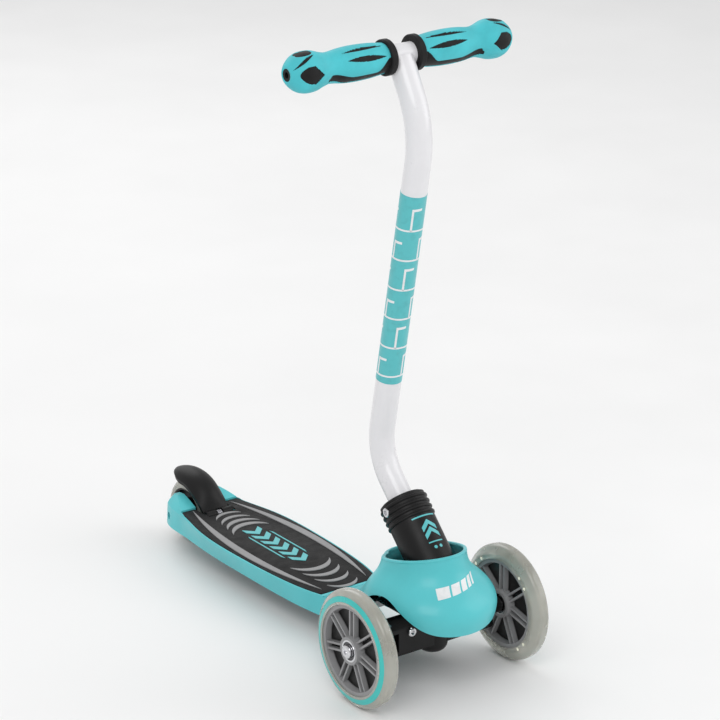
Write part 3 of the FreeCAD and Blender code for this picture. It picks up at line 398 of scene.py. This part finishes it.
def projected(node, centre, across, along):
    """Maps flat points to the surface that faces out along across x along, through a centre above it."""
    tree = surface_of(node)
    out = across.cross(along).normalized()

    def place(x, y):
        start = centre + across * x + along * y + out * 0.05
        spot, normal, _, _ = tree.ray_cast(start, -out, 0.2)
        if spot is None:
            raise RuntimeError("a print misses " + node)
        return spot, normal if normal.dot(out) > 0 else -normal
    return place


# ---- grips ---------------------------------------------------------------------------------------------

BAR_LOW, BAR_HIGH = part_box("handlebar_tube")
BAR = (BAR_LOW + BAR_HIGH) / 2
CORE_RADIUS = 6
# how far out along the bar, and the skin's radius there, in mm
GRIP_PROFILE = ((20, 14.4), (26, 15.2), (36, 16.3), (48, 16.9), (60, 16.9), (70, 16.2), (80, 14.9),
                (86, 14.9), (93, 16.6), (100, 18.8), (107, 19.5), (113, 19.0), (119, 16.8), (124, 13),
                (127, 9.6), (128, 8))


def smoothstep(low, high, value):
    part = min(1, max(0, (value - low) / (high - low)))
    return part * part * (3 - 2 * part)


def grip_radius(x):
    """Radius in mm of the grip's skin, x mm out from the middle of the bar, as a smooth curve."""
    for index in range(len(GRIP_PROFILE) - 1):
        (x0, r0), (x1, r1) = GRIP_PROFILE[index:index + 2]
        if x <= x1:
            before = GRIP_PROFILE[max(0, index - 1)]
            after = GRIP_PROFILE[min(len(GRIP_PROFILE) - 1, index + 2)]
            slope0 = (r1 - before[1]) / (x1 - before[0]) * (x1 - x0)
            slope1 = (after[1] - r0) / (after[0] - x0) * (x1 - x0)
            t = (x - x0) / (x1 - x0)
            return ((2 * t ** 3 - 3 * t ** 2 + 1) * r0 + (t ** 3 - 2 * t ** 2 + t) * slope0
                    + (3 * t ** 2 - 2 * t ** 3) * r1 + (t ** 3 - t ** 2) * slope1)
    return GRIP_PROFILE[-1][1]


def leaf(x, turn, middle, level, long, wide, lean=0.0, power=1.0):
    """Signed room, in mm, inside a leaf-shaped window: two tips along the grip and a belly between them."""
    along = (x - middle) / long
    if abs(along) >= 1:
        return -1.0
    half = wide * (1 - along * along) ** power
    return (half - abs(turn - level - lean * along)) * 0.28


def window_room(x, turn):
    """How far inside a window of the skin a point is; turn is in degrees up from straight ahead."""
    turn = 180 - turn if turn > 90 else turn
    drop = (x - 110) / 12.5
    height = 27 if x > 108 else 30 * max(0.15, (x - 96) / 12.5)
    teardrop = (1 - math.hypot(drop, (turn - 2 - 3 * drop) / height)) * 6
    ovals = [
        teardrop if 97.5 < x < 122.5 else -1,
        (1 - math.hypot((x - 111) / 8.5, (turn - 84) / 19)) * 5,
        leaf(x, turn, 48, 62, 25, 7, lean=-4),
        leaf(x, turn, 47, 24, 23, 10, lean=3),
        leaf(x, turn, 115, 50, 12, 6, lean=-16),
    ]
    if 20 < x < 90:
        top = -32 + 18 * smoothstep(60, 86, x) - 14 * smoothstep(86, 90, x)
        top += 46 * (1 - smoothstep(20, 36, x))
        low = -74 + 30 * smoothstep(62, 88, x)
        ovals.append(min(top - turn, turn - low) * 0.28)
    return max(ovals)


def grip(side, sign, rings=250, spokes=256):
    """The soft skin of a grip, with its windows sunk to the black core."""
    bm = bmesh.new()
    turns = [-90 + 360 * spoke / spokes for spoke in range(spokes)]
    start, end = GRIP_PROFILE[0][0], GRIP_PROFILE[-1][0]

    def vert_at(x, turn, radius):
        angle = math.radians(turn)
        return bm.verts.new((sign * x * MM, BAR.y - radius * MM * math.cos(angle),
                             BAR.z + radius * MM * math.sin(angle)))

    rows = []
    for ring in range(rings + 1):
        x = start + (end - start) * (1 - (1 - ring / rings) ** 1.25)
        sunk = [0.8 * smoothstep(-0.15, 0.35, window_room(x, turn)) for turn in turns]
        rows.append([vert_at(x, turn, grip_radius(x) - deep) for turn, deep in zip(turns, sunk)])
    for row, next_row in zip(rows, rows[1:]):
        for spoke in range(spokes):
            after = (spoke + 1) % spokes
            face = bm.faces.new((row[spoke], row[after], next_row[after], next_row[spoke]))
            centre = face.calc_center_median()
            turn = math.degrees(math.atan2(centre.z - BAR.z, BAR.y - centre.y))
            turn = turn + 360 if turn < -90 else turn
            face.material_index = 1 if window_room(abs(centre.x) / MM, turn) > 0.12 else 0
    inner = [[vert_at(x, turn, CORE_RADIUS) for turn in turns] for x in (end, start)]
    loops = [rows[-1]] + inner + [rows[0]]
    for low, high in zip(loops, loops[1:]):
        for spoke in range(spokes):
            after = (spoke + 1) % spokes
            bm.faces.new((low[spoke], low[after], high[after], high[spoke]))
    bmesh.ops.recalc_face_normals(bm, faces=bm.faces)
    name = "grip_sleeve_" + side
    return piece(name, to_mesh(name, bm), "grip_skin_" + side, LOOKS["teal_grip"], LOOKS["black_rubber"],
                 replaces=("grip_skin_" + side,))


for side, sign in SIDES.items():
    grip(side, sign)

# ---- deck pad ------------------------------------------------------------------------------------------

PAD_TOP = PAD_HIGH.z
STRIP_RISE = 0.9 * MM


def on_deck(points):
    """Points in mm across and back from the front axle, as metres in the row frame."""
    return [(x * MM, AXLE.y + y * MM) for x, y in points]


def pad_material():
    """Black rubber with a leathery tread and a fine grain."""
    shader = Shader("pad_rubber", Sheen_Weight=0.03, Sheen_Roughness=0.5, Specular_IOR_Level=0.2)
    patches = shader.noise(30, 6)
    shader.paint(shader.ramp(patches, [(0.3, shade(BLACK, 0.8)), (0.7, shade(BLACK, 1.35))]))
    shader.gloss(shader.spread(shader.noise(80, 5), 0.52, 0.72))
    return shader.bumps((shader.cells(520), 0.55, 0.0002), (shader.noise(1900, 2), 0.4, 0.00008))


def top_outline(node, height):
    """The flat top of a CAD node, as a mesh of as few faces as it needs."""
    bm = bmesh.new()
    bm.from_mesh(nodes[node].data)
    bmesh.ops.remove_doubles(bm, verts=bm.verts, dist=0.00001)
    away = [face for face in bm.faces
            if face.normal.z < 0.99 or abs(face.calc_center_median().z - height) > 0.2 * MM]
    bmesh.ops.delete(bm, geom=away, context="FACES")
    bmesh.ops.dissolve_limit(bm, angle_limit=math.radians(1), verts=bm.verts, edges=bm.edges)
    return bm


def turn_at(vert):
    """How sharply a flat outline turns at a corner, in degrees."""
    rim = [edge for edge in vert.link_edges if len(edge.link_faces) == 1]
    first, second = [edge.other_vert(vert).co - vert.co for edge in rim]
    return 180 - math.degrees(first.angle(second))


def deck_pad():
    bm = top_outline("grip_pad", PAD_TOP)
    corners = [vert for vert in bm.verts if turn_at(vert) > 40]
    bmesh.ops.bevel(bm, geom=corners, offset=3 * MM, segments=6, profile=0.5, affect="VERTICES")
    made = bmesh.ops.extrude_face_region(bm, geom=bm.faces[:], use_keep_orig=True)
    bmesh.ops.translate(bm, vec=(0, 0, PAD_LOW.z - PAD_TOP), verts=verts_of(made))
    bmesh.ops.recalc_face_normals(bm, faces=bm.faces)
    pad = piece("deck_pad", to_mesh("deck_pad", bm), "grip_pad", pad_material(), replaces=("grip_pad",))
    return bevelled(pad, 0.9 * MM, 3)


def pad_strips():
    """Two long stripes and two fans of crescents, raised from the pad."""
    bm = bmesh.new()
    outlines = []
    for sign in (-1, 1):
        outer = arc((sign * 23.5, 398), (sign * 45.6, 268), (sign * 28, 151), 40)
        inner = arc((sign * 28, 151), (sign * 37.2, 270), (sign * 23.5, 398), 40)
        outlines.append(outer + inner[1:-1])
    for row in range(4):
        thick, deep, half = 6.4 - 0.8 * row, 17 - 2.6 * row, 23.5 - 2.2 * row
        tips = 321 + 14.5 * row
        outlines.append(arc((-half, tips - 3), (0, tips + deep), (half, tips))
                        + arc((half, tips), (1, tips + deep - thick), (-half, tips - 3))[1:-1])
        thick, deep, half = 6.8 - 0.7 * row, 19 - 2 * row, 24 - 2 * row
        tips = 211 - 19 * row
        outlines.append(arc((half, tips), (0, tips - deep), (-half, tips + 2))
                        + arc((-half, tips + 2), (-1, tips - deep + thick), (half, tips))[1:-1])
    for outline in outlines:
        slab(bm, on_deck(outline), PAD_TOP - 0.3 * MM, PAD_TOP + STRIP_RISE)
    strips = piece("pad_strips", to_mesh("pad_strips", bm), "grip_strips", LOOKS["grey_rubber"],
                   replaces=("grip_strips",))
    return bevelled(strips, 0.35 * MM, 2)


def pad_emblem():
    """A row of plain arrowheads, pointing forwards, between two short lines."""
    bm = bmesh.new()
    outlines = []
    for step in range(6):
        tip = 219 + 17 * step
        outlines.append([(0, tip), (10, tip + 10), (10, tip + 19), (0, tip + 9), (-10, tip + 19),
                         (-10, tip + 10)])
    for sign in (-1, 1):
        outlines.append([(sign * 13.4, 236), (sign * 15.2, 242), (sign * 15.2, 300), (sign * 13.4, 306)])
    for outline in outlines:
        slab(bm, on_deck(outline), PAD_TOP - 0.2 * MM, PAD_TOP + 0.45 * MM)
    emblem = piece("pad_emblem", to_mesh("pad_emblem", bm), "deck_badge", LOOKS["teal_print"],
                   replaces=("deck_badge",))
    return bevelled(emblem, 0.2 * MM, 1)


deck_pad()
pad_strips()
pad_emblem()

# ---- prints on the cowl, the socket and the stem -------------------------------------------------------

COWL_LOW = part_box("front_cowl")[0]
WRAP_LOW, WRAP_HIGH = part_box("stem_wrap")
COLLAR_RIM = Vector((0, AXLE.y + 18 * MM, 132 * MM))     # a point on the collar's sloping rim
COLLAR_SLOPE = math.radians(14)
SOCKET_LEAN = math.radians(44.5)
SOCKET_TOP = Vector((0, AXLE.y + 54 * MM, 174.5 * MM))


def metres(outlines):
    return [[(x * MM, y * MM) for x, y in outline] for outline in outlines]


def cowl_print():
    """Five plain slanted bars, each thinner than the last."""
    centre = Vector((-5 * MM, COWL_LOW.y, 111 * MM))
    slope, tall, lean, gap = 0.12, 8, 3.5, 2.2
    bars, x = [], -22
    for wide in (13, 10, 7, 4.5, 2.5):
        near, far = x * slope, (x + wide) * slope
        bars.append([(x, near), (x + wide, far), (x + wide + lean, tall + far), (x + lean, tall + near)])
        x += wide + gap
    place = projected("front_cowl", centre, Vector((1, 0, 0)), Vector((0, 0, 1)))
    print_on("cowl_print", "front_cowl", metres(bars), place, WHITE_INK)


def socket_print():
    """Two bars, a double arrowhead and two dots on the front of the socket."""
    along = Vector((0, math.sin(SOCKET_LEAN), math.cos(SOCKET_LEAN)))
    centre = SOCKET_TOP - along * 42 * MM
    arrows = [[(-8, y - 5), (0, y + 2), (8, y - 5), (8, y), (0, y + 7), (-8, y)] for y in (-6, 2)]
    bars = [[(-13, 12.5), (13, 12.5), (13, 14), (-13, 14)],
            [(-8, -15.5), (8, -15.5), (8, -14.2), (-8, -14.2)]]
    turns = [math.tau * step / 16 for step in range(16)]
    dots = [[(x + 1.7 * math.cos(turn), -20.5 + 1.7 * math.sin(turn)) for turn in turns] for x in (-3, 3)]
    place = projected("stem_socket", centre, Vector((1, 0, 0)), along)
    print_on("socket_print", "stem_socket", metres(arrows + bars + dots), place, LOOKS["teal_print"])


def wrap_print():
    """White lines over the teal film: slanted rings with plain stubs between them."""
    radius = (WRAP_HIGH.x - WRAP_LOW.x) / 2
    size = WRAP_HIGH - WRAP_LOW
    lean = 0
    for _ in range(6):
        lean = -math.atan2(size.y - 2 * radius * math.cos(lean), size.z + 2 * radius * math.sin(lean))
    along = Vector((0, math.sin(lean), math.cos(lean)))
    middle = (WRAP_LOW + WRAP_HIGH) / 2
    half = (size.z + 2 * radius * math.sin(lean)) / 2 / math.cos(lean) / MM
    front = Vector((0, -math.cos(lean), math.sin(lean)))

    def place(x, y):
        angle = x / radius
        out = front * math.cos(angle) + Vector((1, 0, 0)) * math.sin(angle)
        return middle + along * y + out * radius, out

    girth = math.pi * radius / MM - 0.4
    outlines = []
    count = 6
    gap = (2 * half - 12) / count
    for ring in range(count):
        y = -half + 8 + gap * ring
        outlines.append([(-girth, y - 2.5), (0, y), (girth, y - 2.5), (girth, y - 0.7), (0, y + 1.8),
                         (-girth, y - 0.7)])
        for turn in range(3):
            x = -girth + girth * 2 / 3 * (turn + (0.2 if ring % 2 else 0.62))
            top = y + gap * (0.66 if turn % 2 else 0.5)
            outlines.append([(x, y), (x + 2, y), (x + 2, top), (x + 10, top + 1), (x + 10, top + 3.4),
                             (x, top + 2.4)])
    print_on("stem_print", "stem_wrap", metres(outlines), place, WHITE_INK)


cowl_print()
socket_print()
wrap_print()

# ---- the cowl's rolled rim and its sill, and screws with hexagonal recesses ----------------------------


def cowl_lip(radius=1.95 * MM, count=160, spokes=14):
    """A round bead along the rim of the cowl's collar."""
    bm = bmesh.new()
    bm.from_mesh(nodes["front_cowl"].data)
    normal = Vector((0, math.sin(COLLAR_SLOPE), math.cos(COLLAR_SLOPE)))
    rim = COLLAR_RIM - normal * radius * 0.75
    everything = bm.verts[:] + bm.edges[:] + bm.faces[:]
    cut = bmesh.ops.bisect_plane(bm, geom=everything, plane_co=rim, plane_no=normal)
    edges = [[vert.co.copy() for vert in item.verts] for item in cut["geom_cut"]
             if isinstance(item, bmesh.types.BMEdge)]
    bm.free()
    lip = bmesh.new()
    rows = []
    for step in range(count):
        way = Vector((math.cos(math.tau * step / count), math.sin(math.tau * step / count)))
        hits = []
        for first, second in edges:
            start, run = (first - rim).to_2d(), (second - first).to_2d()
            cross = way.cross(run)
            if abs(cross) > 1e-12:
                reach, part = start.cross(run) / cross, start.cross(way) / cross
                if reach > 0 and -0.001 <= part <= 1.001:
                    hits.append(reach)
        middle = way * (min(hits) + max(hits)) / 2
        spot = rim + Vector((middle.x, middle.y, -middle.y * normal.y / normal.z))
        out = Vector((way.x, way.y, -way.y * normal.y / normal.z)).normalized()
        rows.append([lip.verts.new(spot + radius * (out * math.cos(math.tau * k / spokes)
                                                    + normal * math.sin(math.tau * k / spokes)))
                     for k in range(spokes)])
    for row, after in zip(rows, rows[1:] + rows[:1]):
        for k in range(spokes):
            lip.faces.new((row[k], row[(k + 1) % spokes], after[(k + 1) % spokes], after[k]))
    bmesh.ops.recalc_face_normals(lip, faces=lip.faces)
    piece("cowl_lip", to_mesh("cowl_lip", lip), "front_cowl", LOOKS["teal_shell"])


def screw(bm, outer, axis, head, high, shank, length, key=2.2, spokes=48):
    """A pan-head screw in mm, with a hexagonal recess; outer is the middle of its outer face."""
    side = axis.orthogonal().normalized()
    other = axis.cross(side)

    def ring(depth, radius, hexagon=0.0):
        row = []
        for k in range(spokes):
            angle = math.tau * k / spokes
            corner = key / math.cos((angle + math.pi / 6) % (math.pi / 3) - math.pi / 6)
            reach = (radius * (1 - hexagon) + corner * hexagon) * MM
            out = side * math.cos(angle) + other * math.sin(angle)
            row.append(bm.verts.new(outer + axis * depth * MM + out * reach))
        return row

    rows = [ring(1.9, 0, 1), ring(0.3, 0, 1), ring(0.05, key + 0.6), ring(0.05, head - 1.5),
            ring(0.35, head - 0.6), ring(0.95, head - 0.05), ring(high - 0.3, head), ring(high, head - 0.3),
            ring(high, shank), ring(length, shank)]
    for row, after in zip(rows, rows[1:]):
        for k in range(spokes):
            bm.faces.new((row[k], row[(k + 1) % spokes], after[(k + 1) % spokes], after[k]))
    for row in (rows[0], rows[-1]):
        bm.faces.new(row)
    bmesh.ops.recalc_face_normals(bm, faces=bm.faces)


def screws():
    """The stem's clamp screw, and the two screws of the front beam."""
    low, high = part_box("stem_bolt")
    middle = (low + high) / 2
    bm = bmesh.new()
    screw(bm, Vector((low.x, middle.y, middle.z)), Vector((1, 0, 0)),
          head=4.9, high=3.2, shank=3, length=(high.x - low.x) / MM)
    clamp = piece("clamp_screw", to_mesh("clamp_screw", bm), "stem_bolt", CHROME, replaces=("stem_bolt",),
                  smooth=False)
    bevelled(clamp, 0.12 * MM, 1, 40)
    low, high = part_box("beam_bolts")
    head = 4.6
    bm = bmesh.new()
    for place in (low.x + head * MM, high.x - head * MM):
        screw(bm, Vector((place, low.y, (low.z + high.z) / 2)), Vector((0, 1, 0)),
              head=head, high=3.1, shank=2.5, length=(high.y - low.y) / MM, key=1.9)
    beam = piece("beam_screws", to_mesh("beam_screws", bm), "beam_bolts", CHROME, replaces=("beam_bolts",),
                 smooth=False)
    bevelled(beam, 0.12 * MM, 1, 40)


def cowl_sill():
    """The sloping web that joins the cowl's tail to the front edge of the deck."""
    start, end, wall, half = 120, 137.7, 3, 34.5
    above = Vector((0, AXLE.y + start * MM, 0.2))
    spot = surface_of("front_cowl").ray_cast(above, Vector((0, 0, -1)))[0]
    top, deck = spot.z / MM - 0.3, PAD_HIGH.z / MM - 0.7
    bm = bmesh.new()
    corners = [(start, top), (end, deck), (end, deck - wall), (start, top - wall)]
    base = bm.faces.new([bm.verts.new((-half * MM, AXLE.y + y * MM, z * MM)) for y, z in corners])
    made = bmesh.ops.extrude_face_region(bm, geom=[base])
    bmesh.ops.translate(bm, vec=(2 * half * MM, 0, 0), verts=verts_of(made))
    bmesh.ops.recalc_face_normals(bm, faces=bm.faces)
    sill = piece("cowl_sill", to_mesh("cowl_sill", bm), "front_cowl", LOOKS["teal_shell"], smooth=False)
    bevelled(sill, 0.3 * MM)


cowl_lip()
cowl_sill()
screws()

# ---- stage and camera ----------------------------------------------------------------------------------

AZIMUTH, ELEVATION, DISTANCE = math.radians(-35.996), math.radians(20.153), 2.9334
ASIDE, RAISED = -0.0724, 0.3156
back = Vector((math.sin(AZIMUTH) * math.cos(ELEVATION), -math.cos(AZIMUTH) * math.cos(ELEVATION),
               math.sin(ELEVATION)))
right = Vector((math.cos(AZIMUTH), math.sin(AZIMUTH), 0))
up = back.cross(right)
camera = bpy.data.objects.new("camera", bpy.data.cameras.new("camera"))
camera.data.lens = 148.5
camera.data.sensor_width = 36
front_axle = Vector((0, AXLE.y, 0))
turn = Matrix((right, up, back)).transposed().to_4x4()
turn.translation = front_axle + ASIDE * right + RAISED * up + DISTANCE * back
camera.matrix_world = turn
camera.data.clip_start = 0.1
bpy.context.collection.objects.link(camera)
bpy.context.scene.camera = camera


def area_light(name, place, aim, size, power):
    data = bpy.data.lights.new(name, "AREA")
    data.shape = "SQUARE"
    data.size = size
    data.energy = power
    light = bpy.data.objects.new(name, data)
    light.location = place
    light.rotation_euler = (Vector(aim) - Vector(place)).to_track_quat("-Z", "Y").to_euler()
    bpy.context.collection.objects.link(light)


area_light("key", (-1.5, -1.6, 2.2), (0, 0, 0.2), 1.6, 22)
area_light("fill", (1.9, -1.3, 1.3), (0, 0, 0.25), 1.8, 14)
area_light("rim", (0.4, 2.1, 1.9), (0, 0, 0.25), 1.8, 16)

world = bpy.data.worlds.new("soft_white")
world.use_nodes = True
world.node_tree.nodes["Background"].inputs["Color"].default_value = (1, 1, 1, 1)
world.node_tree.nodes["Background"].inputs["Strength"].default_value = 0.72
bpy.context.scene.world = world
bpy.context.scene.view_settings.view_transform = "Standard"


def floor():
    mesh = bpy.data.meshes.new("floor")
    reach = 9
    mesh.from_pydata([(-reach, -reach, 0), (reach, -reach, 0), (reach, reach, 0), (-reach, reach, 0)], [],
                     [(0, 1, 2, 3)])
    obj = bpy.data.objects.new("floor", mesh)
    bpy.context.collection.objects.link(obj)
    shader = Shader("pale_floor")
    shader.paint(shader.ramp(shader.noise(3, 3), [(0.3, (0.86, 0.86, 0.86)), (0.7, (0.89, 0.89, 0.89))]))
    shader.gloss(shader.spread(shader.noise(12, 3), 0.6, 0.75))
    mesh.materials.append(shader.bumps((shader.noise(200, 2), 0.05, 0.0002)))


floor()
